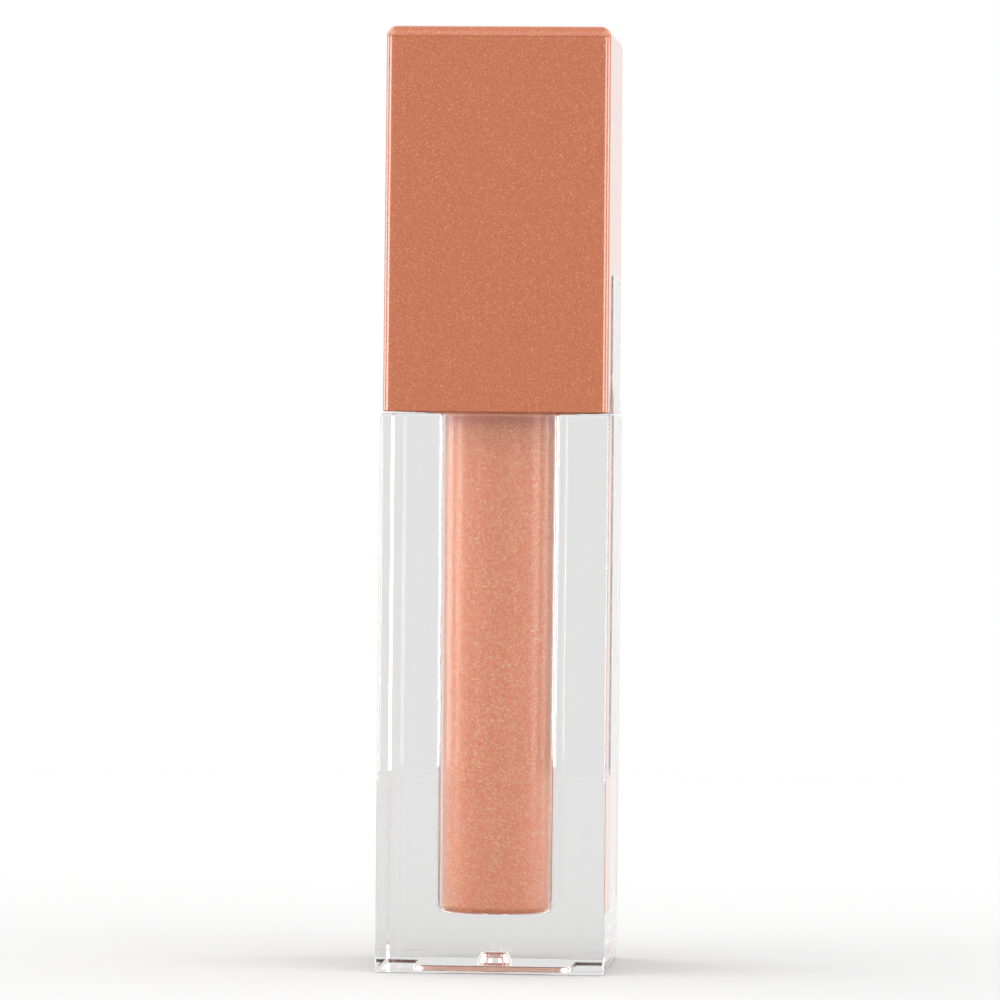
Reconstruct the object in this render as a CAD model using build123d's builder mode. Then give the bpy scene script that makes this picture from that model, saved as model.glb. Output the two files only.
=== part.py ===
from build123d import *

import os
from math import atan2, degrees, radians, tan

# A square lip gloss tube: a thick clear bottle, a screw cap in copper pearl plastic, and the wand in it.
# Millimetres. +Z is up along the tube, +X is the face that carries the clear label, -Y is the front.
# The origin is the centre of the base, on the plane that the tube stands on.

# Clear bottle block
BODY_WIDTH = 22.0
BODY_HEIGHT = 53.6
BODY_UPRIGHT_ROUND = 0.35
BODY_SHOULDER_ROUND = 0.3
BODY_FOOT_ROUND = 0.4

# Underside of the block: a recess for the shade label, and the moulding gate's dimple in its ceiling
RECESS_WIDTH = 15.2
RECESS_ROUND = 2.0
RECESS_DEPTH = 0.6
GATE_FOOT_RADIUS = 1.75
GATE_TOP_RADIUS = 1.4
GATE_DEPTH = 1.0

# Gloss chamber, with the draft that lets the core pin out through the neck
CHAMBER_FLOOR = 5.4
CHAMBER_FLOOR_RADIUS = 5.83
CHAMBER_CORNER = 0.8
BORE_RADIUS = 5.95

# Neck finish, with a bead that the mould ejects it by
NECK_RADIUS = 7.4
NECK_HEIGHT = 13.2
NECK_TOP = BODY_HEIGHT + NECK_HEIGHT
NECK_BEAD_RADIUS = 8.05
NECK_BEAD_HEIGHT = 0.9
NECK_BEAD_RISE = 1.9

# Screw thread, single start and right-handed. Each ridge is buried a little in the wall it stands on.
THREAD_PITCH = 3.0
THREAD_TURNS = 1.3
THREAD_DEPTH = 0.75
THREAD_ROOT_WIDTH = 1.3
THREAD_CREST_WIDTH = 0.7
THREAD_BURIED = 0.15
THREAD_START = BODY_HEIGHT + 5.8
FLANK_GAP = 0.1

# Wiper, pressed into the neck: heights are above its lower end
WIPER_FLANGE_RADIUS = 7.3
WIPER_FLANGE_HEIGHT = 0.8
WIPER_LENGTH = 8.6
WIPER_WALL = 0.8
WIPER_FLANGE_CHAMFER = 0.15
WIPER_MOUTH_CHAMFER = 0.5
WIPER_LEAD_IN = 0.6
WIPER_LEAD_IN_DEPTH = 0.4
WIPER_ORIFICE_RADIUS = 3.1
WIPER_LIP_BOTTOM = 0.9
WIPER_LIP_TOP = 1.4
WIPER_CONE_UNDERSIDE = 3.1
WIPER_CONE_TOP = 4.4
WIPER_TOP = NECK_TOP + WIPER_FLANGE_HEIGHT
WIPER_BOTTOM = NECK_TOP - WIPER_LENGTH

# Sealing washer, loose between the wiper and the inner cap's plate
WASHER_INNER_RADIUS = 4.4
WASHER_OUTER_RADIUS = 8.0
WASHER_HEIGHT = 1.0

# Inner cap: threaded socket, square plate and mouth flange, corner fins, and the boss that holds the stem
SOCKET_RADIUS = 8.4
INNER_CAP_RADIUS = 9.2
INNER_CAP_RIM = BODY_HEIGHT + 0.7
RIM_FLANGE_HEIGHT = 1.2
PLATE_BOTTOM = WIPER_TOP + WASHER_HEIGHT
PLATE_HEIGHT = 1.6
PLATE_TOP = PLATE_BOTTOM + PLATE_HEIGHT
BOSS_RADIUS = 4.0
BOSS_HEIGHT = 7.2
BOSS_TOP = PLATE_TOP + BOSS_HEIGHT
BOSS_ROOF = 1.2
FIN_THICKNESS = 1.2
FIN_REACH = 12.5
GUSSET_THICKNESS = 0.8
GUSSET_REACH = 7.6
GUSSET_HEIGHT = 4.6
WALL_OVERLAP = 0.3

# Overcap
CAP_SEAM = 0.15
CAP_BOTTOM = BODY_HEIGHT + CAP_SEAM
CAP_WIDTH = 21.66
CAP_TOP_WIDTH = 21.54
CAP_TOP = 90.7
CAP_ROUND = 1.0
CAP_RIM_CHAMFER = 0.12
CAP_HOLLOW_WIDTH = 18.6
CAP_HOLLOW_ROUND = 0.8
CAP_ROOF = 1.7
CAP_HOLLOW_TOP = CAP_TOP - CAP_ROOF
CAP_DRAFT = degrees(atan2((CAP_WIDTH - CAP_TOP_WIDTH) / 2, CAP_TOP - CAP_BOTTOM))
STOP_RIB_THICKNESS = 1.0
STOP_RIB_DEPTH = 1.8
STOP_RIB_OFFSET = 4.6

# Stem
STEM_RADIUS = 2.5
STEM_CLEARANCE = 0.03
STEM_SOCKET_GAP = 0.3
STEM_BOTTOM = 21.4
STEM_TOP = BOSS_TOP - BOSS_ROOF - STEM_SOCKET_GAP
STEM_TOP_CHAMFER = 0.4
STEM_FLANGE_RADIUS = 3.6
STEM_FLANGE_HEIGHT = 0.8

# Applicator tip: a doe foot, with a slanted face towards +X under a coat of flock
TIP_BOTTOM = 8.4
TIP_PLUG_RADIUS = 1.5
TIP_PLUG_HEIGHT = 5.0
TIP_PLUG_CLEARANCE = 0.03
TIP_PLUG_GAP = 0.2
TIP_COLLAR_HEIGHT = 1.4
TIP_CORE_RADIUS = 2.3
TIP_END_ROUND_SHARE = 0.9
TIP_SLANT_DEGREES = 19.3
TIP_SLANT_X = 0.35
TIP_SLANT_Z = 15.6
CORE_EDGE_ROUND = 0.5
FLOCK_THICKNESS = 0.5
FLOCK_EDGE_ROUND = 0.8

# Gloss, and the channel that the wand keeps open in it
GLOSS_LEVEL = 57.6
WAND_CHANNEL_RADIUS = 3.3
WAND_CHANNEL_FLOOR = 7.4
WAND_CHANNEL_ROUND = 1.0

# Labels. The clear film crosses the seam, stands off where it steps from cap to bottle, and is torn there.
SHADE_LABEL_WIDTH = 14.4
SHADE_LABEL_ROUND = 1.6
SHADE_LABEL_THICKNESS = 0.45
FILM_THICKNESS = 0.08
FILM_WIDTH = 12.0
FILM_CENTRE = 1.0
FILM_ROUND = 0.8
FILM_BOTTOM = 18.9
FILM_LEAVES_CAP = 57.6
FILM_TOP = 67.1
FILM_TEAR_GAP = 0.1
FILM_LIFT = 0.01


def thread_ridge(root_radius, crest_radius, start):
    """A helical ridge whose wide side is at root_radius and whose narrow side reaches crest_radius."""
    outward = 1 if crest_radius > root_radius else -1
    buried_radius = root_radius - outward * THREAD_BURIED
    with BuildPart() as ridge:
        with BuildLine() as path:
            Helix(
                pitch=THREAD_PITCH,
                height=THREAD_PITCH * THREAD_TURNS,
                radius=root_radius,
                center=(0, 0, start),
            )
        with BuildSketch(Plane.XZ):
            with BuildLine():
                Polyline(
                    (buried_radius, start - THREAD_ROOT_WIDTH / 2),
                    (root_radius, start - THREAD_ROOT_WIDTH / 2),
                    (crest_radius, start - THREAD_CREST_WIDTH / 2),
                    (crest_radius, start + THREAD_CREST_WIDTH / 2),
                    (root_radius, start + THREAD_ROOT_WIDTH / 2),
                    (buried_radius, start + THREAD_ROOT_WIDTH / 2),
                    close=True,
                )
            make_face()
        sweep(path=path.wires()[0], is_frenet=True)
    return ridge.part


def chamber_profile(level):
    """Half section of the chamber and bore from the chamber's floor up to level, to revolve about Z."""
    with BuildLine() as line:
        floor = Line((0, CHAMBER_FLOOR), (CHAMBER_FLOOR_RADIUS, CHAMBER_FLOOR))
        wall = Line(floor @ 1, (BORE_RADIUS, BODY_HEIGHT))
        fillet(line.vertices().group_by(Axis.Y)[0].sort_by(Axis.X)[-1], CHAMBER_CORNER)
        bore = Line(wall @ 1, (BORE_RADIUS, level))
        Polyline(bore @ 1, (0, level), floor @ 0)
    return line.line


def doe_foot(radius, bottom, top, slant_x, edge_round):
    """A round-ended rod, cut by a slanted face whose edge is rounded."""
    slant = Plane(origin=(slant_x, 0, TIP_SLANT_Z), z_dir=(1, 0, -tan(radians(TIP_SLANT_DEGREES))))
    with BuildPart() as foot:
        with BuildSketch(Plane.XY.offset(bottom)):
            Circle(radius)
        extrude(amount=top - bottom)
        fillet(foot.faces().sort_by(Axis.Z)[0].edges(), radius * TIP_END_ROUND_SHARE)
        split(bisect_by=slant, keep=Keep.BOTTOM)
        slanted_face = foot.faces().filter_by(GeomType.PLANE).sort_by(Axis.X)[-1]
        fillet(slanted_face.edges(), edge_round)
    return foot.part


# Bottle: the block, the neck on it, then the recess, the gate dimple and the chamber cut out
male_thread = thread_ridge(NECK_RADIUS, NECK_RADIUS + THREAD_DEPTH, THREAD_START)

with BuildPart() as bottle:
    with BuildSketch():
        Rectangle(BODY_WIDTH, BODY_WIDTH)
    extrude(amount=BODY_HEIGHT)
    fillet(bottle.faces().sort_by(Axis.Z)[0].edges(), BODY_FOOT_ROUND)
    fillet(bottle.edges().filter_by(Axis.Z), BODY_UPRIGHT_ROUND)
    fillet(bottle.faces().sort_by(Axis.Z)[-1].edges(), BODY_SHOULDER_ROUND)
    with BuildSketch(Plane.XY.offset(BODY_HEIGHT)):
        Circle(NECK_RADIUS)
    extrude(amount=NECK_HEIGHT)
    with BuildSketch(Plane.XY.offset(BODY_HEIGHT + NECK_BEAD_RISE)):
        Circle(NECK_BEAD_RADIUS)
    extrude(amount=NECK_BEAD_HEIGHT)
    add(male_thread)
    with BuildSketch():
        RectangleRounded(RECESS_WIDTH, RECESS_WIDTH, RECESS_ROUND)
    extrude(amount=RECESS_DEPTH, mode=Mode.SUBTRACT)
    with BuildSketch(Plane.XZ):
        with BuildLine():
            Polyline(
                (0, RECESS_DEPTH),
                (GATE_FOOT_RADIUS, RECESS_DEPTH),
                (GATE_TOP_RADIUS, RECESS_DEPTH + GATE_DEPTH),
                (0, RECESS_DEPTH + GATE_DEPTH),
                close=True,
            )
        make_face()
    revolve(axis=Axis.Z, mode=Mode.SUBTRACT)
    with BuildSketch(Plane.XZ):
        add(chamber_profile(NECK_TOP))
        make_face()
    revolve(axis=Axis.Z, mode=Mode.SUBTRACT)

# Gloss
with BuildPart() as gloss_fill:
    with BuildSketch(Plane.XZ):
        add(chamber_profile(GLOSS_LEVEL))
        make_face()
    revolve(axis=Axis.Z)
    with BuildSketch(Plane.XY.offset(WAND_CHANNEL_FLOOR)):
        Circle(WAND_CHANNEL_RADIUS)
    extrude(amount=GLOSS_LEVEL - WAND_CHANNEL_FLOOR, mode=Mode.SUBTRACT)
    channel_edges = gloss_fill.edges(Select.LAST).filter_by(GeomType.CIRCLE)
    fillet(channel_edges.sort_by(Axis.Z)[0], WAND_CHANNEL_ROUND)

# Wiper: a flanged sleeve with a cone inside it that ends in the scraping lip
with BuildPart() as wiper:
    with BuildSketch(Plane.XZ):
        with BuildLine():
            inside = BORE_RADIUS - WIPER_WALL
            Polyline(
                (BORE_RADIUS, NECK_TOP),
                (WIPER_FLANGE_RADIUS, NECK_TOP),
                (WIPER_FLANGE_RADIUS, WIPER_TOP - WIPER_FLANGE_CHAMFER),
                (WIPER_FLANGE_RADIUS - WIPER_FLANGE_CHAMFER, WIPER_TOP),
                (inside + WIPER_MOUTH_CHAMFER, WIPER_TOP),
                (inside, WIPER_TOP - WIPER_MOUTH_CHAMFER),
                (inside, WIPER_BOTTOM + WIPER_CONE_TOP),
                (WIPER_ORIFICE_RADIUS, WIPER_BOTTOM + WIPER_LIP_TOP),
                (WIPER_ORIFICE_RADIUS, WIPER_BOTTOM + WIPER_LIP_BOTTOM),
                (inside, WIPER_BOTTOM + WIPER_CONE_UNDERSIDE),
                (inside, WIPER_BOTTOM),
                (BORE_RADIUS - WIPER_LEAD_IN_DEPTH, WIPER_BOTTOM),
                (BORE_RADIUS, WIPER_BOTTOM + WIPER_LEAD_IN),
                close=True,
            )
        make_face()
    revolve(axis=Axis.Z)

# Sealing washer
with BuildPart() as seal_washer:
    with BuildSketch(Plane.XY.offset(WIPER_TOP)):
        Circle(WASHER_OUTER_RADIUS)
        Circle(WASHER_INNER_RADIUS, mode=Mode.SUBTRACT)
    extrude(amount=WASHER_HEIGHT)

# Inner cap. Its ridge lies in the groove under the neck's ridge. The flanks are parallel, so the two ridges'
# half-widths at one radius add up to the same at every radius.
crest_to_root = SOCKET_RADIUS - NECK_RADIUS - THREAD_DEPTH
half_widths = (THREAD_ROOT_WIDTH + THREAD_CREST_WIDTH) / 2
half_widths -= (THREAD_ROOT_WIDTH - THREAD_CREST_WIDTH) / 2 * crest_to_root / THREAD_DEPTH
female_thread = thread_ridge(
    SOCKET_RADIUS,
    SOCKET_RADIUS - THREAD_DEPTH,
    THREAD_START - half_widths - FLANK_GAP,
)

with BuildPart() as gusset:
    with BuildSketch(Plane.XZ):
        with BuildLine():
            Polyline(
                (BOSS_RADIUS - WALL_OVERLAP, PLATE_TOP),
                (GUSSET_REACH, PLATE_TOP),
                (BOSS_RADIUS - WALL_OVERLAP, PLATE_TOP + GUSSET_HEIGHT),
                close=True,
            )
        make_face()
    extrude(amount=GUSSET_THICKNESS / 2, both=True)

with BuildPart() as inner_cap:
    with BuildSketch(Plane.XY.offset(INNER_CAP_RIM)):
        Circle(INNER_CAP_RADIUS)
        with PolarLocations((INNER_CAP_RADIUS - WALL_OVERLAP + FIN_REACH) / 2, 4, start_angle=45):
            Rectangle(FIN_REACH - INNER_CAP_RADIUS + WALL_OVERLAP, FIN_THICKNESS)
        Circle(SOCKET_RADIUS, mode=Mode.SUBTRACT)
    extrude(amount=PLATE_BOTTOM - INNER_CAP_RIM)
    with BuildSketch(Plane.XY.offset(INNER_CAP_RIM)):
        RectangleRounded(CAP_HOLLOW_WIDTH, CAP_HOLLOW_WIDTH, CAP_HOLLOW_ROUND)
        Circle(SOCKET_RADIUS, mode=Mode.SUBTRACT)
    extrude(amount=RIM_FLANGE_HEIGHT)
    with BuildSketch(Plane.XY.offset(PLATE_BOTTOM)):
        RectangleRounded(CAP_HOLLOW_WIDTH, CAP_HOLLOW_WIDTH, CAP_HOLLOW_ROUND)
    extrude(amount=PLATE_HEIGHT)
    with BuildSketch(Plane.XY.offset(PLATE_TOP)):
        Circle(BOSS_RADIUS)
    extrude(amount=BOSS_HEIGHT)
    with PolarLocations(0, 4):
        add(gusset.part)
    with BuildSketch(Plane.XY.offset(PLATE_BOTTOM)):
        Circle(STEM_RADIUS + STEM_CLEARANCE)
    extrude(amount=BOSS_TOP - BOSS_ROOF - PLATE_BOTTOM, mode=Mode.SUBTRACT)
    add(female_thread)

# Overcap: two stop ribs on each wall run from the roof down to the inner cap's plate
with BuildPart() as overcap:
    with BuildSketch(Plane.XY.offset(CAP_BOTTOM)):
        RectangleRounded(CAP_WIDTH, CAP_WIDTH, CAP_ROUND)
    extrude(amount=CAP_TOP - CAP_BOTTOM, taper=CAP_DRAFT)
    fillet(overcap.faces().sort_by(Axis.Z)[-1].edges(), CAP_ROUND)
    with BuildSketch(Plane.XY.offset(CAP_BOTTOM)):
        RectangleRounded(CAP_HOLLOW_WIDTH, CAP_HOLLOW_WIDTH, CAP_HOLLOW_ROUND)
    extrude(amount=CAP_HOLLOW_TOP - CAP_BOTTOM, mode=Mode.SUBTRACT)
    chamfer(overcap.faces().sort_by(Axis.Z)[0].outer_wire().edges(), CAP_RIM_CHAMFER)
    with BuildSketch(Plane.XY.offset(PLATE_TOP)):
        rib_x = (CAP_HOLLOW_WIDTH - STOP_RIB_DEPTH) / 2
        with PolarLocations(0, 4):
            with Locations((rib_x, STOP_RIB_OFFSET), (rib_x, -STOP_RIB_OFFSET)):
                Rectangle(STOP_RIB_DEPTH, STOP_RIB_THICKNESS)
    extrude(amount=CAP_HOLLOW_TOP - PLATE_TOP)

# Stem: the flange rests under the inner cap's plate, and the lower end is bored for the tip's plug
with BuildPart() as stem:
    with BuildSketch(Plane.XY.offset(STEM_BOTTOM)):
        Circle(STEM_RADIUS)
    extrude(amount=STEM_TOP - STEM_BOTTOM)
    chamfer(stem.faces().sort_by(Axis.Z)[-1].edges(), STEM_TOP_CHAMFER)
    with BuildSketch(Plane.XY.offset(PLATE_BOTTOM - STEM_FLANGE_HEIGHT)):
        Circle(STEM_FLANGE_RADIUS)
    extrude(amount=STEM_FLANGE_HEIGHT)
    with BuildSketch(Plane.XY.offset(STEM_BOTTOM)):
        Circle(TIP_PLUG_RADIUS + TIP_PLUG_CLEARANCE)
    extrude(amount=TIP_PLUG_HEIGHT + TIP_PLUG_GAP, mode=Mode.SUBTRACT)

# Applicator: the moulded core with its collar and plug, then the flock as a coat that fits round it
core_foot = doe_foot(
    radius=TIP_CORE_RADIUS,
    bottom=TIP_BOTTOM + FLOCK_THICKNESS,
    top=STEM_BOTTOM,
    slant_x=TIP_SLANT_X,
    edge_round=CORE_EDGE_ROUND,
)
flock_foot = doe_foot(
    radius=TIP_CORE_RADIUS + FLOCK_THICKNESS,
    bottom=TIP_BOTTOM,
    top=STEM_BOTTOM - TIP_COLLAR_HEIGHT,
    slant_x=TIP_SLANT_X + FLOCK_THICKNESS,
    edge_round=FLOCK_EDGE_ROUND,
)

with BuildPart() as applicator_core:
    add(core_foot)
    with BuildSketch(Plane.XY.offset(STEM_BOTTOM - TIP_COLLAR_HEIGHT)):
        Circle(STEM_RADIUS)
    extrude(amount=TIP_COLLAR_HEIGHT)
    with BuildSketch(Plane.XY.offset(STEM_BOTTOM)):
        Circle(TIP_PLUG_RADIUS)
    extrude(amount=TIP_PLUG_HEIGHT)

with BuildPart() as applicator_flock:
    add(flock_foot)
    add(applicator_core.part, mode=Mode.SUBTRACT)

# Shade label, on the ceiling of the recess under the base
with BuildPart() as shade_label:
    with BuildSketch(Plane.XY.offset(RECESS_DEPTH - SHADE_LABEL_THICKNESS)):
        RectangleRounded(SHADE_LABEL_WIDTH, SHADE_LABEL_WIDTH, SHADE_LABEL_ROUND)
    extrude(amount=SHADE_LABEL_THICKNESS)

# Clear film label on the right face: the bottle's piece is flat, the cap's piece slopes out to the tear
film_tear = CAP_BOTTOM - FILM_TEAR_GAP / 2
film_height = film_tear - FILM_TEAR_GAP - FILM_BOTTOM

with BuildPart() as side_label_bottle:
    with BuildSketch(Plane.YZ.offset(BODY_WIDTH / 2)):
        with Locations((FILM_CENTRE, FILM_BOTTOM + film_height / 2)):
            Rectangle(FILM_WIDTH, film_height)
    extrude(amount=FILM_THICKNESS)
    fillet(side_label_bottle.edges().filter_by(Axis.X).group_by(Axis.Z)[0], FILM_ROUND)

with BuildPart() as side_label_cap:
    with BuildSketch(Plane.XZ.offset(FILM_WIDTH / 2 - FILM_CENTRE)):
        with BuildLine():
            on_cap = CAP_WIDTH / 2 + FILM_LIFT
            on_body = BODY_WIDTH / 2
            Polyline(
                (on_cap, FILM_TOP),
                (on_cap, FILM_LEAVES_CAP),
                (on_body, film_tear),
                (on_body + FILM_THICKNESS, film_tear),
                (on_cap + FILM_THICKNESS, FILM_LEAVES_CAP),
                (on_cap + FILM_THICKNESS, FILM_TOP),
                close=True,
            )
        make_face()
    extrude(amount=-FILM_WIDTH)
    fillet(side_label_cap.edges().filter_by(Axis.X).group_by(Axis.Z)[-1], FILM_ROUND)

# One STEP for each piece
bottle.part.label = "bottle"
gloss_fill.part.label = "gloss_fill"
wiper.part.label = "wiper"
seal_washer.part.label = "seal_washer"
inner_cap.part.label = "inner_cap"
overcap.part.label = "overcap"
stem.part.label = "stem"
applicator_core.part.label = "applicator_core"
applicator_flock.part.label = "applicator_flock"
shade_label.part.label = "shade_label"
side_label_bottle.part.label = "side_label_bottle"
side_label_cap.part.label = "side_label_cap"

os.makedirs("parts", exist_ok=True)
export_step(bottle.part, "parts/bottle.step")
export_step(gloss_fill.part, "parts/gloss_fill.step")
export_step(wiper.part, "parts/wiper.step")
export_step(seal_washer.part, "parts/seal_washer.step")
export_step(inner_cap.part, "parts/inner_cap.step")
export_step(overcap.part, "parts/overcap.step")
export_step(stem.part, "parts/stem.step")
export_step(applicator_core.part, "parts/applicator_core.step")
export_step(applicator_flock.part, "parts/applicator_flock.step")
export_step(shade_label.part, "parts/shade_label.step")
export_step(side_label_bottle.part, "parts/side_label_bottle.step")
export_step(side_label_cap.part, "parts/side_label_cap.step")
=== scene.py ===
import math
import random

import bpy
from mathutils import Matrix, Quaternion, Vector
from mathutils.bvhtree import BVHTree


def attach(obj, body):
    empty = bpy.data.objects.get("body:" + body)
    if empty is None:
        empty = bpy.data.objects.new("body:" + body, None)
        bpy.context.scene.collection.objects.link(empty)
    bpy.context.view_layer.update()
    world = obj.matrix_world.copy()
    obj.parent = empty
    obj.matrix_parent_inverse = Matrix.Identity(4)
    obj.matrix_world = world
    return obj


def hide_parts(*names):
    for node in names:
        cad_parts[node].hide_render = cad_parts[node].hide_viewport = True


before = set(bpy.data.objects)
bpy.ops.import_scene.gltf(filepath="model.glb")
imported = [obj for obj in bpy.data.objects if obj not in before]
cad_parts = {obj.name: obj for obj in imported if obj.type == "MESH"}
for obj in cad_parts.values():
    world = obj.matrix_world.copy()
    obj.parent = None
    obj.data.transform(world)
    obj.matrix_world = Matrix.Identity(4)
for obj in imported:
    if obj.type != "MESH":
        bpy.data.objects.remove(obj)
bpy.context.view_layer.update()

MM = 0.001
SEED = 7

# Sizes in millimetres: the CAD part's own, and the small edges and gaps that only the finer meshes have
BODY_HALF = 11.0
BODY_HEIGHT = 53.6
UPRIGHT_ROUND = 0.35
SHOULDER_ROUND = 0.3
FOOT_ROUND = 0.4
RECESS_HALF = 7.6
RECESS_ROUND = 2.0
RECESS_DEPTH = 0.6
RECESS_EDGE = 0.15
GATE_FOOT, GATE_TOP, GATE_DEPTH, GATE_ROUND = 1.75, 1.4, 1.0, 0.3
CHAMBER_FLOOR = 5.4
CHAMBER_FLOOR_RADIUS = 5.83
CHAMBER_CORNER = 0.8
BORE = 5.95
NECK_RADIUS = 7.4
NECK_TOP = 66.8
NECK_EDGE = 0.2
NECK_FILLET = 0.3
BEAD_BOTTOM, BEAD_TOP, BEAD_RADIUS = 55.5, 56.4, 8.05
BEAD_EDGE = 0.1
THREAD_START, THREAD_PITCH, THREAD_TURNS, THREAD_DEPTH = 59.4, 3.0, 1.3, 0.75
THREAD_ROOT, THREAD_CREST = 1.3, 0.7
THREAD_FADE_TURNS = 0.06
GLOSS_LEVEL = 57.6
MENISCUS = 0.5
SURFACE_DIP = 0.4
CHANNEL_RADIUS, CHANNEL_FLOOR, CHANNEL_ROUND, CHANNEL_LIP = 3.3, 7.4, 1.0, 0.3
CAP_BOTTOM, CAP_TOP = 53.75, 90.7
CAP_HALF_BOTTOM, CAP_HALF_TOP = 10.83, 10.77
CAP_ROUND = 1.0
CAP_RIM_ROUND = 0.12
PARTING_STEP = 0.025
PARTING_FOOT, PARTING_TOP, PARTING_CLEAR = 0.06, 0.04, 0.02
HOLLOW_HALF, HOLLOW_ROUND, HOLLOW_TOP, HOLLOW_CHAMFER = 9.3, 0.8, 89.0, 0.3
WET_GAP = 0.02
FILM = 0.08
FILM_CORNER = 0.8
FILM_LOW_Y, FILM_HIGH_Y = -5.0, 7.0
FILM_BOTTOM, FILM_LEAVES_CAP, FILM_TEAR, FILM_TOP = 18.9, 57.6, 53.7, 67.1
FILM_OFF_BLOCK, FILM_OFF_CAP = 0.005, 0.01
FILM_TEAR_GAP = 0.1
STICKER_HALF, STICKER_CORNER, STICKER_EDGE = 7.2, 1.6, 0.02
STICKER_FACE, STICKER_BACK = 0.45, 0.02

# A ring's corner never gets smaller than this, so that its points stay apart
BLOCK_LEAST_CORNER, CAP_LEAST_CORNER = 0.06, 0.02

# Flock fibres on the applicator, in millimetres; lean and droop are shares of the fibre's own direction
FIBRE_COUNT = 14000
FIBRE_LENGTH = 0.24
FIBRE_RADIUS = 0.016
FIBRE_ROOT = 0.05
FIBRE_LEAN = 0.45
FIBRE_DROOP = 0.25
OUTSIDE_REACH = 3.0
RAY_LIFT = 0.01

# Gloss smeared on the wand and the wiper, in millimetres: how far a noise moves its edge, and where past that
# edge it starts to thin out and ends. Then how much of the plastic's colour it hides, and its own roughness.
SMEAR_RUNS = 6.0
SMEAR_THINS, SMEAR_ENDS = 2.6, 3.2
SMEAR_COVER = 0.85
SMEAR_ROUGHNESS = 0.16

# The shoulder's shade on the gloss, from how far below the block's top to how far, in millimetres
SHADE_FROM, SHADE_FULL = 1.6, 0.5

# Refractive index of the block against air and against the gloss, and how grey its thickness looks
PETG_INDEX = 1.57
WET_INDEX = 1.117
PETG_TINT = 0.75

# Studio: a backdrop of even brightness all round, and what the lights add to it.
# A glow is a broad light, only above the horizon, towards one side. Each is an axis, where along it the glow
# starts and is full, and its strength. The glows leave the horizon plain, as the photo's background is.
# A lamp is a small softbox at the object's own height: its degrees round from the front towards the left, and
# its strength. The four stand between the eight main directions, so that no view from one of those looks
# straight into a lamp.
BACKDROP_LIGHT = 1.0
GLOWS = (("Y", 0.0, -0.9, 1.3), ("X", -0.2, -0.9, 2.6), ("X", 0.2, 0.9, 1.8))
GLOW_LOW, GLOW_FULL = 0.12, 0.5
LAMPS = ((69, 9.5), (109, 5.0), (-69, 7.0), (-109, 5.5))
LAMP_EDGE, LAMP_CORE = 14.0, 5.0
FLOOR_SHADE = 0.525
FLOOR_RADIUS = 0.35
FLOOR_SIDES = 96
FLOOR_GAP = 0.02

# Camera: a long lens at the height of the bottle's shoulder; angles in degrees, lengths in millimetres
CAMERA_YAW, CAMERA_PITCH, CAMERA_ROLL = 4.27, -0.53, 0.55
CAMERA_AIM = 0.025
CAMERA_DISTANCE, CAMERA_HEIGHT = 609, 50.9
LENS, SENSOR = 225.3, 36

# How finely the rings and arcs are divided, and above what angle between two faces an edge shows as sharp
SIDE_STEPS = 40
CORNER_STEPS = 6
ARC_STEPS = 8
CHAMBER_LEVELS = 12
THREAD_LEVELS = 66
CAP_LEVELS = 7
SHARP_DEGREES = 35
FILM_COLUMNS = 24
BEND_STEPS = 10


# ---------------------------------------------------------------- mesh helpers
def square_ring(half, corner, z):
    """Points of a rounded square, anticlockwise from above, spaced evenly in angle along each side."""
    reach = math.atan2(half - corner, half)
    points = []
    for side in range(4):
        turn = side * math.pi / 2
        quarter = []
        for step in range(SIDE_STEPS + 1):
            angle = reach * (2 * step / SIDE_STEPS - 1)
            quarter.append((half, half * math.tan(angle)))
        inset = half - corner
        for step in range(1, CORNER_STEPS):
            angle = math.pi / 2 * step / CORNER_STEPS
            quarter.append((inset + corner * math.cos(angle), inset + corner * math.sin(angle)))
        cos, sin = math.cos(turn), math.sin(turn)
        points += [(x * cos - y * sin, x * sin + y * cos, z) for x, y in quarter]
    return points


RING_ANGLES = [math.atan2(y, x) for x, y, _ in square_ring(BODY_HALF, UPRIGHT_ROUND, 0)]


def round_ring(radius, z):
    """A circle with as many points as a square ring, at the block's own angles, so that the two join."""
    return [(radius * math.cos(angle), radius * math.sin(angle), z) for angle in RING_ANGLES]


def arc(centre_u, centre_v, radius, start, end, steps=ARC_STEPS):
    """Points (u, v) along an arc, angles in degrees."""
    angles = [math.radians(start + (end - start) * step / steps) for step in range(steps + 1)]
    return [(centre_u + radius * math.cos(a), centre_v + radius * math.sin(a)) for a in angles]


def make_object(name, vertices, faces):
    """A smooth-shaded object with its sharp edges kept, from vertices in millimetres."""
    mesh = bpy.data.meshes.new(name)
    mesh.from_pydata([(x * MM, y * MM, z * MM) for x, y, z in vertices], [], faces)
    mesh.validate()
    mesh.update()
    mesh.shade_smooth()
    mesh.set_sharp_from_angle(angle=math.radians(SHARP_DEGREES))
    obj = bpy.data.objects.new(name, mesh)
    bpy.context.scene.collection.objects.link(obj)
    weighted = obj.modifiers.new("even_shading", "WEIGHTED_NORMAL")
    weighted.weight = 100
    weighted.keep_sharp = True
    return obj


def stack(name, rings):
    """A closed surface through a list of rings, from one centre point to the other."""
    count = len(rings[0])
    vertices = [point for ring in rings for point in ring]
    faces = []
    for level in range(len(rings) - 1):
        low, high = level * count, (level + 1) * count
        for i in range(count):
            j = (i + 1) % count
            faces.append((low + i, low + j, high + j, high + i))
    for level, flipped in ((0, True), (len(rings) - 1, False)):
        centre = len(vertices)
        vertices.append((0, 0, rings[level][0][2]))
        base = level * count
        for i in range(count):
            j = (i + 1) % count
            first, second = (j, i) if flipped else (i, j)
            faces.append((base + first, base + second, centre))
    return make_object(name, vertices, faces)


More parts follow.
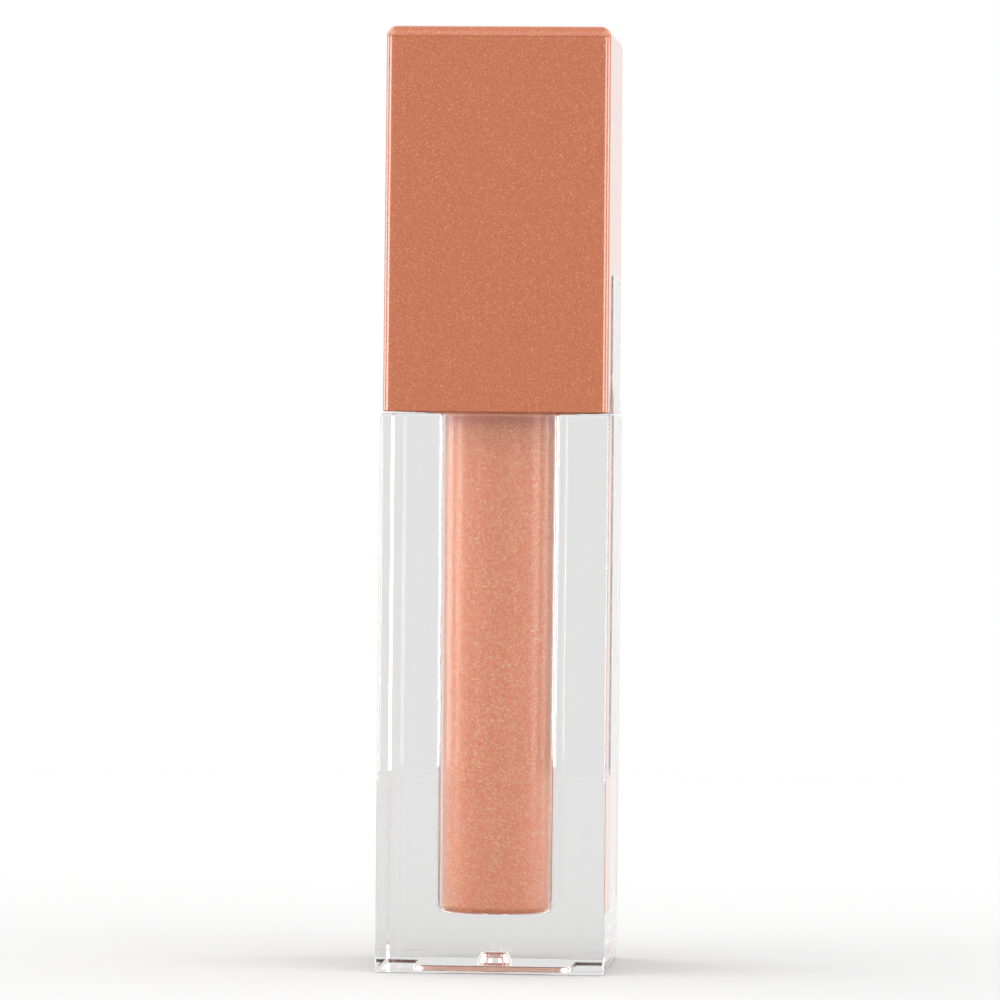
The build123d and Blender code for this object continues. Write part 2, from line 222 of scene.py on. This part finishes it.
# ---------------------------------------------------------------- bottle
def thread_height(angle, z):
    """How far the neck's thread stands out at an angle and height, fading out at both ends of the ridge."""
    rise = 0.0
    start = angle % (2 * math.pi) / (2 * math.pi)
    for lap in range(2):
        turns = start + lap
        if turns > THREAD_TURNS:
            continue
        off = abs(z - (THREAD_START + THREAD_PITCH * turns))
        slope = (THREAD_ROOT - THREAD_CREST) / 2
        share = min(1.0, max(0.0, (THREAD_ROOT / 2 - off) / slope))
        fade = min(1.0, turns / THREAD_FADE_TURNS, (THREAD_TURNS - turns) / THREAD_FADE_TURNS)
        rise = max(rise, THREAD_DEPTH * share * fade)
    return rise


def chamber_rings(gap=0.0):
    """Chamber wall from the floor's middle outwards and up to the shoulder, set in by gap."""
    floor_z = CHAMBER_FLOOR + gap
    floor_radius = CHAMBER_FLOOR_RADIUS - gap
    corner = CHAMBER_CORNER
    rings = [round_ring(radius, floor_z) for radius in (1.0, 3.0)]
    for u, v in arc(floor_radius - corner, floor_z + corner, corner, -90, 0, 12):
        rings.append(round_ring(u, v))
    for step in range(1, CHAMBER_LEVELS + 1):
        z = floor_z + corner + (BODY_HEIGHT - floor_z - corner) * step / CHAMBER_LEVELS
        share = (z - CHAMBER_FLOOR) / (BODY_HEIGHT - CHAMBER_FLOOR)
        rings.append(round_ring(floor_radius + (BORE - CHAMBER_FLOOR_RADIUS) * share, z))
    return rings


def recess_rings():
    """The underside from the gate dimple's top outwards to the edge of the recess."""
    dimple_top = RECESS_DEPTH + GATE_DEPTH
    rings = [round_ring(GATE_TOP - 2 * GATE_ROUND, dimple_top)]
    for u, v in arc(GATE_TOP - GATE_ROUND, dimple_top - GATE_ROUND, GATE_ROUND, 90, 15, 5):
        rings.append(round_ring(u, v))
    rings.append(round_ring(GATE_FOOT, RECESS_DEPTH))
    for half in (3.0, 5.2, RECESS_HALF - RECESS_EDGE):
        rings.append(square_ring(half, RECESS_ROUND * half / RECESS_HALF, RECESS_DEPTH))
    for u, v in arc(RECESS_HALF - RECESS_EDGE, RECESS_DEPTH - RECESS_EDGE, RECESS_EDGE, 90, 0, 3)[1:]:
        rings.append(square_ring(u, RECESS_ROUND, v))
    for u, v in arc(RECESS_HALF + RECESS_EDGE, RECESS_EDGE, RECESS_EDGE, 180, 270, 3):
        rings.append(square_ring(u, RECESS_ROUND, v))
    return rings


def block_rings():
    """The outside of the block, from its foot up and over the shoulder to the neck's fillet."""
    rings = []
    foot_inset = BODY_HALF - FOOT_ROUND
    for u, v in arc(foot_inset, FOOT_ROUND, FOOT_ROUND, -90, 0, 10):
        share = (u - foot_inset) / FOOT_ROUND
        rings.append(square_ring(u, max(BLOCK_LEAST_CORNER, UPRIGHT_ROUND * share), v))
    for z in (8, 16, 24, 32, 40, 48):
        rings.append(square_ring(BODY_HALF, UPRIGHT_ROUND, z))
    shoulder = BODY_HALF - SHOULDER_ROUND
    for u, v in arc(shoulder, BODY_HEIGHT - SHOULDER_ROUND, SHOULDER_ROUND, 0, 90):
        rings.append(square_ring(u, max(BLOCK_LEAST_CORNER, UPRIGHT_ROUND - (BODY_HALF - u)), v))
    for half in (10.2, 9.2):
        rings.append(square_ring(half, 1.2 * (BODY_HALF - half), BODY_HEIGHT))
    for u, v in arc(NECK_RADIUS + NECK_FILLET, BODY_HEIGHT + NECK_FILLET, NECK_FILLET, 270, 180, 4):
        rings.append(round_ring(u, v))
    return rings


def neck_rings():
    """The neck from under its bead, up past the thread, over the lip and down to the gloss."""
    rings = [round_ring(NECK_RADIUS, BEAD_BOTTOM - BEAD_EDGE)]
    for inset, z in ((BEAD_EDGE, BEAD_BOTTOM), (0, BEAD_BOTTOM + BEAD_EDGE)):
        rings.append(round_ring(BEAD_RADIUS - inset, z))
    for inset, z in ((0, BEAD_TOP - BEAD_EDGE), (BEAD_EDGE, BEAD_TOP)):
        rings.append(round_ring(BEAD_RADIUS - inset, z))
    rings.append(round_ring(NECK_RADIUS, BEAD_TOP + BEAD_EDGE))
    thread_low = THREAD_START - THREAD_ROOT
    thread_high = THREAD_START + THREAD_PITCH * THREAD_TURNS + THREAD_ROOT
    for step in range(THREAD_LEVELS + 1):
        z = thread_low + (thread_high - thread_low) * step / THREAD_LEVELS
        ring = []
        for angle in RING_ANGLES:
            radius = NECK_RADIUS + thread_height(angle, z)
            ring.append((radius * math.cos(angle), radius * math.sin(angle), z))
        rings.append(ring)
    for u, v in arc(NECK_RADIUS - NECK_EDGE, NECK_TOP - NECK_EDGE, NECK_EDGE, 0, 90, 4):
        rings.append(round_ring(u, v))
    for u, v in arc(BORE + NECK_EDGE, NECK_TOP - NECK_EDGE, NECK_EDGE, 90, 180, 4):
        rings.append(round_ring(u, v))
    for z in (63, 60, GLOSS_LEVEL):
        rings.append(round_ring(BORE, z))
    return rings


def build_bottle():
    """One closed surface with three plastics: the wetted chamber wall bends light less, and the recess under
    the thin floor carries no tint."""
    recess = recess_rings()
    dry = recess + block_rings() + neck_rings()
    rings = dry + chamber_rings()[::-1]
    bottle = stack("clear_bottle", rings)
    count = len(rings[0])
    wet_faces = range((len(dry) - 1) * count, len(bottle.data.polygons))
    dimple_fan = range((len(rings) - 1) * count, len(rings) * count)
    bottle.data.materials.append(clear_plastic("clear_petg", PETG_INDEX, PETG_TINT))
    bottle.data.materials.append(clear_plastic("petg_against_gloss", WET_INDEX, 1.0))
    bottle.data.materials.append(clear_plastic("petg_recess", PETG_INDEX, 1.0))
    for index in wet_faces:
        bottle.data.polygons[index].material_index = 1
    for index in (*range((len(recess) - 1) * count), *dimple_fan):
        bottle.data.polygons[index].material_index = 2
    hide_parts("bottle")
    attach(bottle, "bottle_body")


# ---------------------------------------------------------------- node helpers
def new_material(name):
    """A new material with its nodes, links and main shader."""
    material = bpy.data.materials.new(name)
    material.use_nodes = True
    nodes = material.node_tree.nodes
    return material, nodes, material.node_tree.links, nodes["Principled BSDF"]


def texture(nodes, links, kind, scale, **settings):
    """A noise or Voronoi texture in object space, which is in metres."""
    coordinates = nodes.new("ShaderNodeTexCoord")
    node = nodes.new(kind)
    links.new(coordinates.outputs["Object"], node.inputs["Vector"])
    node.inputs["Scale"].default_value = scale
    for key, value in settings.items():
        node.inputs[key].default_value = value
    return node


def height_above_base(nodes, links):
    """A point's height at rest, in metres."""
    coordinates = nodes.new("ShaderNodeTexCoord")
    axes = nodes.new("ShaderNodeSeparateXYZ")
    links.new(coordinates.outputs["Object"], axes.inputs["Vector"])
    return axes.outputs["Z"]


def ramp(nodes, links, source, stops):
    """A smooth colour ramp from (position, colour) stops."""
    node = nodes.new("ShaderNodeValToRGB")
    node.color_ramp.interpolation = "EASE"
    for index, (position, colour) in enumerate(stops):
        if index > 1:
            node.color_ramp.elements.new(position)
        element = node.color_ramp.elements[index]
        element.position = position
        element.color = (*colour, 1)
    links.new(source, node.inputs["Fac"])
    return node.outputs["Color"]


def span(nodes, links, source, from_low, from_high, to_low, to_high):
    """Map one range of numbers smoothly onto another, clamped."""
    node = nodes.new("ShaderNodeMapRange")
    node.interpolation_type = "SMOOTHSTEP"
    node.inputs["From Min"].default_value = from_low
    node.inputs["From Max"].default_value = from_high
    node.inputs["To Min"].default_value = to_low
    node.inputs["To Max"].default_value = to_high
    links.new(source, node.inputs["Value"])
    return node.outputs["Result"]


def mix_colour(nodes, links, factor, first, second):
    """Mix a colour socket with a second colour, a socket or a constant, by a socket."""
    node = nodes.new("ShaderNodeMix")
    node.data_type = "RGBA"
    factor_socket, first_socket, second_socket = node.inputs[0], node.inputs[6], node.inputs[7]
    links.new(factor, factor_socket)
    links.new(first, first_socket)
    if isinstance(second, bpy.types.NodeSocket):
        links.new(second, second_socket)
    else:
        second_socket.default_value = (*second, 1)
    return node.outputs[2]


def bump(nodes, links, bsdf, height, strength, distance):
    """Roughen a shader's surface by a height socket; distance in metres."""
    node = nodes.new("ShaderNodeBump")
    node.inputs["Strength"].default_value = strength
    node.inputs["Distance"].default_value = distance
    links.new(height, node.inputs["Height"])
    links.new(node.outputs["Normal"], bsdf.inputs["Normal"])


# ---------------------------------------------------------------- materials
def clear_plastic(name, ior, tint):
    """Thick clear PETG: a faint slow waviness from the mould, and light scuffs in the polish."""
    material, nodes, links, bsdf = new_material(name)
    bsdf.inputs["Base Color"].default_value = (tint, tint, tint * 0.998, 1)
    bsdf.inputs["Transmission Weight"].default_value = 1.0
    bsdf.inputs["IOR"].default_value = ior
    scuffs = texture(nodes, links, "ShaderNodeTexNoise", 900, Detail=6.0, Roughness=0.65)
    links.new(span(nodes, links, scuffs.outputs["Fac"], 0.55, 0.8, 0.0, 0.05), bsdf.inputs["Roughness"])
    waves = texture(nodes, links, "ShaderNodeTexNoise", 90, Detail=1.0)
    bump(nodes, links, bsdf, waves.outputs["Fac"], 0.05, 0.00004)
    return material


def copper_pearl():
    """Pearl-pigmented copper plastic: fine gold and pink flecks under a glossy skin."""
    material, nodes, links, bsdf = new_material("copper_pearl")
    flecks = texture(nodes, links, "ShaderNodeTexVoronoi", 11000)
    split = nodes.new("ShaderNodeSeparateColor")
    links.new(flecks.outputs["Color"], split.inputs["Color"])
    tone = ramp(nodes, links, split.outputs["Red"], [
        (0.0, (0.316, 0.066, 0.017)),
        (0.55, (0.338, 0.085, 0.027)),
        (0.88, (0.358, 0.106, 0.038)),
        (1.0, (0.440, 0.195, 0.080)),
    ])
    cloud = texture(nodes, links, "ShaderNodeTexNoise", 260, Detail=3.0)
    tone = mix_colour(nodes, links, span(nodes, links, cloud.outputs["Fac"], 0.3, 0.7, 0.0, 0.22),
                      tone, (0.350, 0.090, 0.031))
    links.new(tone, bsdf.inputs["Base Color"])
    bsdf.inputs["Metallic"].default_value = 0.1
    links.new(span(nodes, links, split.outputs["Green"], 0.0, 1.0, 0.34, 0.5), bsdf.inputs["Roughness"])
    bsdf.inputs["IOR"].default_value = 1.5
    bsdf.inputs["Specular IOR Level"].default_value = 0.15
    bsdf.inputs["Coat Weight"].default_value = 1.0
    bsdf.inputs["Coat Roughness"].default_value = 0.12
    bsdf.inputs["Coat IOR"].default_value = 1.6
    bump(nodes, links, bsdf, split.outputs["Blue"], 0.12, 0.00001)
    return material


def peach_gloss():
    """Thick peach lip gloss, clouded with fine shimmer, and darker where the shoulder shades it."""
    material, nodes, links, bsdf = new_material("peach_gloss")
    shimmer = texture(nodes, links, "ShaderNodeTexVoronoi", 14000)
    split = nodes.new("ShaderNodeSeparateColor")
    links.new(shimmer.outputs["Color"], split.inputs["Color"])
    tone = ramp(nodes, links, split.outputs["Red"], [
        (0.0, (0.95, 0.130, 0.027)),
        (0.35, (0.97, 0.205, 0.052)),
        (0.70, (0.98, 0.315, 0.108)),
        (0.90, (1.00, 0.550, 0.240)),
        (1.0, (1.00, 0.880, 0.560)),
    ])
    cloud = texture(nodes, links, "ShaderNodeTexNoise", 140, Detail=4.0, Distortion=0.6)
    tone = mix_colour(nodes, links, span(nodes, links, cloud.outputs["Fac"], 0.35, 0.75, 0.0, 0.3),
                      tone, (0.98, 0.29, 0.11))
    shade_low, shade_high = (BODY_HEIGHT - SHADE_FROM) * MM, (BODY_HEIGHT - SHADE_FULL) * MM
    shaded = span(nodes, links, height_above_base(nodes, links), shade_low, shade_high, 0.0, 0.6)
    tone = mix_colour(nodes, links, shaded, tone, (0.86, 0.17, 0.085))
    links.new(tone, bsdf.inputs["Base Color"])
    bsdf.inputs["Metallic"].default_value = 0.1
    links.new(span(nodes, links, split.outputs["Green"], 0.0, 1.0, 0.42, 0.56), bsdf.inputs["Roughness"])
    bsdf.inputs["Coat Weight"].default_value = 1.0
    bsdf.inputs["Coat Roughness"].default_value = 0.42
    bsdf.inputs["Coat IOR"].default_value = 1.75
    bump(nodes, links, bsdf, split.outputs["Blue"], 0.12, 0.00001)
    return material


def gloss_film(nodes, links, top):
    """How much gloss film covers a point: all of it well below top, runs and drips near it, none above."""
    runs = texture(nodes, links, "ShaderNodeTexNoise", 500, Detail=2.0)
    raised = nodes.new("ShaderNodeMath")
    raised.operation = "MULTIPLY_ADD"
    links.new(runs.outputs["Fac"], raised.inputs[0])
    raised.inputs[1].default_value = SMEAR_RUNS * MM
    links.new(height_above_base(nodes, links), raised.inputs[2])
    thins, ends = (top + SMEAR_THINS) * MM, (top + SMEAR_ENDS) * MM
    return span(nodes, links, raised.outputs[0], thins, ends, SMEAR_COVER, 0.0)


def satin_plastic(name, colour, roughness, translucence, wet_below=None):
    """Natural moulded plastic with a fine satin grain. Below a height at rest it carries a film of gloss."""
    material, nodes, links, bsdf = new_material(name)
    cloud = texture(nodes, links, "ShaderNodeTexNoise", 300, Detail=4.0)
    darker = tuple(channel * 0.9 for channel in colour)
    tone = ramp(nodes, links, cloud.outputs["Fac"], [(0.3, darker), (0.7, colour)])
    grain = texture(nodes, links, "ShaderNodeTexNoise", 6000, Detail=2.0)
    satin = span(nodes, links, grain.outputs["Fac"], 0.3, 0.7, roughness - 0.08, roughness + 0.08)
    if wet_below:
        wet = gloss_film(nodes, links, wet_below)
        streaks = texture(nodes, links, "ShaderNodeTexNoise", 900, Detail=3.0)
        film = ramp(nodes, links, streaks.outputs["Fac"], [
            (0.35, (0.58, 0.24, 0.14)),
            (0.7, (0.66, 0.33, 0.22)),
        ])
        tone = mix_colour(nodes, links, wet, tone, film)
        shine = nodes.new("ShaderNodeMix")
        links.new(wet, shine.inputs["Factor"])
        links.new(satin, shine.inputs["A"])
        shine.inputs["B"].default_value = SMEAR_ROUGHNESS
        satin = shine.outputs["Result"]
    links.new(tone, bsdf.inputs["Base Color"])
    links.new(satin, bsdf.inputs["Roughness"])
    bsdf.inputs["Subsurface Weight"].default_value = translucence
    bsdf.inputs["Subsurface Radius"].default_value = (0.001, 0.001, 0.0009)
    bump(nodes, links, bsdf, grain.outputs["Fac"], 0.15, 0.00002)
    return material


def nylon_flock(name):
    """White nylon flock soaked with gloss: peach, with drier and paler tufts."""
    material, nodes, links, bsdf = new_material(name)
    tufts = texture(nodes, links, "ShaderNodeTexNoise", 2600, Detail=4.0, Roughness=0.6)
    links.new(ramp(nodes, links, tufts.outputs["Fac"], [
        (0.3, (0.52, 0.19, 0.10)),
        (0.55, (0.60, 0.26, 0.16)),
        (0.8, (0.66, 0.40, 0.29)),
    ]), bsdf.inputs["Base Color"])
    links.new(span(nodes, links, tufts.outputs["Fac"], 0.3, 0.8, 0.25, 0.6), bsdf.inputs["Roughness"])
    bsdf.inputs["Sheen Weight"].default_value = 0.3
    bsdf.inputs["Sheen Roughness"].default_value = 0.4
    bump(nodes, links, bsdf, tufts.outputs["Fac"], 0.6, 0.00008)
    return material


def film_label():
    """Clear film: it whitens a little, and its gloss shows fine ripples."""
    material, nodes, links, bsdf = new_material("label_film")
    ripple = texture(nodes, links, "ShaderNodeTexNoise", 350, Detail=3.0)
    links.new(ramp(nodes, links, ripple.outputs["Fac"], [
        (0.3, (0.86, 0.86, 0.85)),
        (0.7, (0.92, 0.92, 0.91)),
    ]), bsdf.inputs["Base Color"])
    bsdf.inputs["Transmission Weight"].default_value = 0.9
    bsdf.inputs["IOR"].default_value = 1.46
    bsdf.inputs["Roughness"].default_value = 0.08
    bump(nodes, links, bsdf, ripple.outputs["Fac"], 0.04, 0.00005)
    return material


def shade_paper():
    """The shade label's coated paper."""
    material, nodes, links, bsdf = new_material("shade_paper")
    fibres = texture(nodes, links, "ShaderNodeTexNoise", 3500, Detail=5.0)
    links.new(ramp(nodes, links, fibres.outputs["Fac"], [
        (0.3, (0.94, 0.50, 0.37)),
        (0.7, (0.98, 0.56, 0.43)),
    ]), bsdf.inputs["Base Color"])
    bsdf.inputs["Roughness"].default_value = 0.45
    bump(nodes, links, bsdf, fibres.outputs["Fac"], 0.2, 0.00002)
    return material


# ---------------------------------------------------------------- gloss
def build_gloss():
    """The gloss: it creeps a little up the chamber's wall and is hollow where the wand stands in it."""
    rings = chamber_rings(WET_GAP)
    wall = BORE - WET_GAP
    for z in (55.0, GLOSS_LEVEL - MENISCUS):
        rings.append(round_ring(wall, z))
    for u, v in arc(wall - MENISCUS, GLOSS_LEVEL, MENISCUS, 0, -70, 5)[1:]:
        rings.append(round_ring(u, v - WET_GAP))
    lip_level = GLOSS_LEVEL - SURFACE_DIP - CHANNEL_LIP
    for u, v in arc(CHANNEL_RADIUS + CHANNEL_LIP, lip_level, CHANNEL_LIP, 90, 180, 4):
        rings.append(round_ring(u, v))
    round_level = CHANNEL_FLOOR + CHANNEL_ROUND
    for z in (40, 20, round_level):
        rings.append(round_ring(CHANNEL_RADIUS, z))
    for u, v in arc(CHANNEL_RADIUS - CHANNEL_ROUND, round_level, CHANNEL_ROUND, 0, -90, 5)[1:]:
        rings.append(round_ring(u, v))
    gloss = stack("gloss", rings)
    gloss.data.materials.append(peach_gloss())
    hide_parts("gloss_fill")
    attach(gloss, "bottle_body")


# ---------------------------------------------------------------- overcap
def build_overcap():
    """The copper shell, from its hollow's ceiling down, round the rim, up the sides and over the top."""
    rings = []
    for half in (2.0, 6.0, HOLLOW_HALF - HOLLOW_CHAMFER):
        rings.append(square_ring(half, HOLLOW_ROUND * half / HOLLOW_HALF, HOLLOW_TOP))
    rings.append(square_ring(HOLLOW_HALF, HOLLOW_ROUND, HOLLOW_TOP - HOLLOW_CHAMFER))
    rings.append(square_ring(HOLLOW_HALF, HOLLOW_ROUND, CAP_BOTTOM + CAP_RIM_ROUND))
    for u, v in arc(HOLLOW_HALF + CAP_RIM_ROUND, CAP_BOTTOM + CAP_RIM_ROUND, CAP_RIM_ROUND, 180, 270, 3)[1:]:
        rings.append(square_ring(u, HOLLOW_ROUND, v))
    for u, v in arc(CAP_HALF_BOTTOM - CAP_RIM_ROUND, CAP_BOTTOM + CAP_RIM_ROUND, CAP_RIM_ROUND, -90, 0, 4):
        rings.append(square_ring(u, CAP_ROUND - (CAP_HALF_BOTTOM - u), v))
    for step in range(1, CAP_LEVELS):
        share = step / CAP_LEVELS
        z = CAP_BOTTOM + (CAP_TOP - CAP_ROUND - CAP_BOTTOM) * share
        rings.append(square_ring(CAP_HALF_BOTTOM + (CAP_HALF_TOP - CAP_HALF_BOTTOM) * share, CAP_ROUND, z))
    for inset, below in ((0, PARTING_FOOT), (PARTING_STEP, PARTING_TOP), (PARTING_STEP, PARTING_CLEAR)):
        rings.append(square_ring(CAP_HALF_TOP - inset, CAP_ROUND - inset, CAP_TOP - CAP_ROUND - below))
    for u, v in arc(CAP_HALF_TOP - CAP_ROUND, CAP_TOP - CAP_ROUND, CAP_ROUND, 0, 90, 10):
        rings.append(square_ring(u, max(CAP_LEAST_CORNER, CAP_ROUND - (CAP_HALF_TOP - u)), v))
    for half in (6.0, 2.0):
        rings.append(square_ring(half, CAP_LEAST_CORNER, CAP_TOP))
    overcap = stack("cap_shell", rings)
    overcap.data.materials.append(copper_pearl())
    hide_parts("overcap")
    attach(overcap, "cap_body")


# ---------------------------------------------------------------- labels
def film_piece(name, profile, node, body, round_low, round_high):
    """A film strip with its corners rounded at one end. Its profile is (x, z) up along the inner face."""
    vertices, faces = [], []
    ends = (profile[0][1], profile[-1][1])
    for x, z in profile:
        inset = 0.0
        for end, rounded in ((ends[0], round_low), (ends[1], round_high)):
            reach = abs(z - end)
            if rounded and reach < FILM_CORNER:
                inset = max(inset, FILM_CORNER - math.sqrt(FILM_CORNER ** 2 - (FILM_CORNER - reach) ** 2))
        for column in range(FILM_COLUMNS + 1):
            share = column / FILM_COLUMNS
            y = FILM_LOW_Y + inset + (FILM_HIGH_Y - FILM_LOW_Y - 2 * inset) * share
            vertices.append((x, y, z))
    width = FILM_COLUMNS + 1
    for row in range(len(profile) - 1):
        for column in range(FILM_COLUMNS):
            first = row * width + column
            faces.append((first, first + 1, first + 1 + width, first + width))
    obj = make_object(name, vertices, faces)
    thick = obj.modifiers.new("film_thickness", "SOLIDIFY")
    thick.thickness = FILM * MM
    thick.offset = 1.0
    obj.modifiers.move(1, 0)
    obj.data.materials.append(film_label())
    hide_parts(node)
    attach(obj, body)


def build_labels():
    """The seal label in its two halves: one flat on the block, one bending in from the block to the cap."""
    on_block = BODY_HALF + FILM_OFF_BLOCK
    on_cap = CAP_HALF_BOTTOM + FILM_OFF_CAP
    corner_levels = (0.0, 0.03, 0.08, 0.16, 0.28, 0.45, FILM_CORNER)
    lower = [(on_block, FILM_BOTTOM + level) for level in corner_levels]
    lower += [(on_block, z) for z in (24, 30, 36, 42, 48, FILM_TEAR - FILM_TEAR_GAP)]
    film_piece("side_label_lower", lower, "side_label_bottle", "bottle_body", True, False)
    upper = []
    for step in range(BEND_STEPS + 1):
        share = step / BEND_STEPS
        ease = share * share * (3 - 2 * share)
        z = FILM_TEAR + (FILM_LEAVES_CAP - FILM_TEAR) * share
        upper.append((BODY_HALF + (on_cap - BODY_HALF) * ease, z))
    upper += [(on_cap, z) for z in (60, 63)]
    upper += [(on_cap, FILM_TOP - level) for level in reversed(corner_levels)]
    film_piece("side_label_upper", upper, "side_label_cap", "cap_body", False, True)


def build_shade_label():
    """The sticker under the base, a hair below the recess's ceiling, so that air stays between them."""
    low, high = RECESS_DEPTH - STICKER_FACE, RECESS_DEPTH - STICKER_BACK
    sizes = (2.0, 5.0, STICKER_HALF - STICKER_EDGE)
    rings = [square_ring(size, STICKER_CORNER * size / STICKER_HALF, low) for size in sizes]
    rings.append(square_ring(STICKER_HALF, STICKER_CORNER, low + STICKER_EDGE))
    rings.append(square_ring(STICKER_HALF, STICKER_CORNER, high - STICKER_EDGE))
    rings += [square_ring(size, STICKER_CORNER * size / STICKER_HALF, high) for size in reversed(sizes)]
    label = stack("shade_sticker", rings)
    label.data.materials.append(shade_paper())
    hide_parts("shade_label")
    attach(label, "bottle_body")


# ---------------------------------------------------------------- CAD nodes that stay
def build_flock_nap():
    """Short fibres standing on the outside of the flock coat, matted by the gloss. A face is on the outside
    when nothing stands in front of it within reach."""
    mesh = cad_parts["applicator_flock"].data
    points = [vertex.co.copy() for vertex in mesh.vertices]
    tree = BVHTree.FromPolygons(points, [list(polygon.vertices) for polygon in mesh.polygons])
    outside = []
    weights = []
    for polygon in mesh.polygons:
        start = polygon.center + polygon.normal * (RAY_LIFT * MM)
        if tree.ray_cast(start, polygon.normal, OUTSIDE_REACH * MM)[0] is None:
            outside.append(polygon)
            weights.append(polygon.area)
    generator = random.Random(SEED)
    vertices, faces = [], []
    for polygon in generator.choices(outside, weights, k=FIBRE_COUNT):
        shares = [generator.random() for _ in polygon.vertices]
        root = sum((points[index] * share for index, share in zip(polygon.vertices, shares)), Vector())
        root /= sum(shares)
        lean = Vector([generator.uniform(-1, 1) for _ in range(3)])
        along = (polygon.normal + lean * FIBRE_LEAN + Vector((0, 0, -FIBRE_DROOP))).normalized()
        side = along.orthogonal().normalized()
        length = FIBRE_LENGTH * generator.uniform(0.5, 1.0)
        first = len(vertices)
        for corner in range(3):
            turned = Quaternion(along, 2 * math.pi * corner / 3) @ side
            vertices.append((root - along * FIBRE_ROOT * MM) / MM + turned * FIBRE_RADIUS)
        vertices.append(root / MM + along * length)
        faces.append((first + 2, first + 1, first))
        for corner in range(3):
            faces.append((first + corner, first + (corner + 1) % 3, first + 3))
    nap = make_object("flock_nap", vertices, faces)
    nap.data.materials.append(nylon_flock("flock_fibres"))
    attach(nap, "cap_body")


def finish_cad_node(name, material):
    """Give a CAD node that stays as it is its material."""
    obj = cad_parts[name]
    obj.data.materials.clear()
    obj.data.materials.append(material)


# ---------------------------------------------------------------- studio
def build_world():
    """The backdrop, the glows above it and the lamps beside the object, added up in the world's strength."""
    world = bpy.data.worlds.new("studio")
    bpy.context.scene.world = world
    world.use_nodes = True
    nodes, links = world.node_tree.nodes, world.node_tree.links
    coordinates = nodes.new("ShaderNodeTexCoord")
    axes = nodes.new("ShaderNodeSeparateXYZ")
    links.new(coordinates.outputs["Generated"], axes.inputs["Vector"])
    raised = span(nodes, links, axes.outputs["Z"], GLOW_LOW, GLOW_FULL, 0.0, 1.0)
    total = nodes.new("ShaderNodeValue").outputs[0]
    total.default_value = BACKDROP_LIGHT
    for axis, start, full, strength in GLOWS:
        glow = span(nodes, links, axes.outputs[axis], start, full, 0.0, strength)
        added = nodes.new("ShaderNodeMath")
        added.operation = "MULTIPLY_ADD"
        for socket, value in zip(added.inputs, (glow, raised, total)):
            links.new(value, socket)
        total = added.outputs[0]
    edge, core = math.cos(math.radians(LAMP_EDGE)), math.cos(math.radians(LAMP_CORE))
    for angle, strength in LAMPS:
        turn = math.radians(angle)
        towards = nodes.new("ShaderNodeVectorMath")
        towards.operation = "DOT_PRODUCT"
        links.new(coordinates.outputs["Generated"], towards.inputs[0])
        towards.inputs[1].default_value = (-math.sin(turn), -math.cos(turn), 0)
        lamp = span(nodes, links, towards.outputs["Value"], edge, core, 0.0, strength)
        added = nodes.new("ShaderNodeMath")
        links.new(total, added.inputs[0])
        links.new(lamp, added.inputs[1])
        total = added.outputs[0]
    links.new(total, nodes["Background"].inputs["Strength"])
    nodes["Background"].inputs["Color"].default_value = (1, 1, 1, 1)


def build_floor():
    """A disc under the object, of a grey that comes out as bright as the backdrop behind it."""
    angles = [2 * math.pi * side / FLOOR_SIDES for side in range(FLOOR_SIDES)]
    points = [(FLOOR_RADIUS * math.cos(angle), FLOOR_RADIUS * math.sin(angle), 0) for angle in angles]
    mesh = bpy.data.meshes.new("floor")
    mesh.from_pydata(points, [], [tuple(range(FLOOR_SIDES))])
    floor = bpy.data.objects.new("floor", mesh)
    bpy.context.scene.collection.objects.link(floor)
    floor.location.z = -FLOOR_GAP * MM
    material, _, _, bsdf = new_material("floor")
    bsdf.inputs["Base Color"].default_value = (FLOOR_SHADE, FLOOR_SHADE, FLOOR_SHADE, 1)
    bsdf.inputs["Roughness"].default_value = 0.9
    bsdf.inputs["Specular IOR Level"].default_value = 0.0
    floor.data.materials.append(material)


def build_camera():
    """The camera stands in front, a little to the right, as in a product shot."""
    yaw, pitch, roll = (math.radians(angle) for angle in (CAMERA_YAW, CAMERA_PITCH, CAMERA_ROLL))
    distance = CAMERA_DISTANCE * MM
    camera = bpy.data.objects.new("camera", bpy.data.cameras.new("camera"))
    bpy.context.scene.collection.objects.link(camera)
    bpy.context.scene.camera = camera
    camera.data.lens = LENS
    camera.data.sensor_width = SENSOR
    camera.data.clip_start, camera.data.clip_end = 0.01, 100
    camera.location = (distance * math.sin(yaw), -distance * math.cos(yaw), CAMERA_HEIGHT * MM)
    camera.rotation_euler = (math.pi / 2 + pitch, -roll, yaw + math.radians(CAMERA_AIM))


build_bottle()
build_gloss()
build_overcap()
build_labels()
build_shade_label()
build_flock_nap()
# Colour, roughness and translucence of each, and up to what height at rest it is wet with gloss
finish_cad_node("wiper", satin_plastic("wiper_ldpe", (0.70, 0.69, 0.67), 0.45, 0.4, 60))
finish_cad_node("inner_cap", satin_plastic("natural_pp", (0.66, 0.66, 0.64), 0.42, 0.2))
finish_cad_node("seal_washer", satin_plastic("foam_liner", (0.72, 0.72, 0.71), 0.7, 0.1))
finish_cad_node("stem", satin_plastic("stem_pp", (0.66, 0.64, 0.62), 0.35, 0.2, 58))
finish_cad_node("applicator_core", satin_plastic("tip_core", (0.66, 0.62, 0.59), 0.4, 0.2, 58))
finish_cad_node("applicator_flock", nylon_flock("nylon_flock"))
build_world()
build_floor()
build_camera()

scene = bpy.context.scene
scene.cycles.max_bounces = 32
scene.cycles.transmission_bounces = 32
scene.cycles.glossy_bounces = 16
scene.view_settings.view_transform = "Standard"
scene.view_settings.look = "None"

bpy.context.view_layer.update()
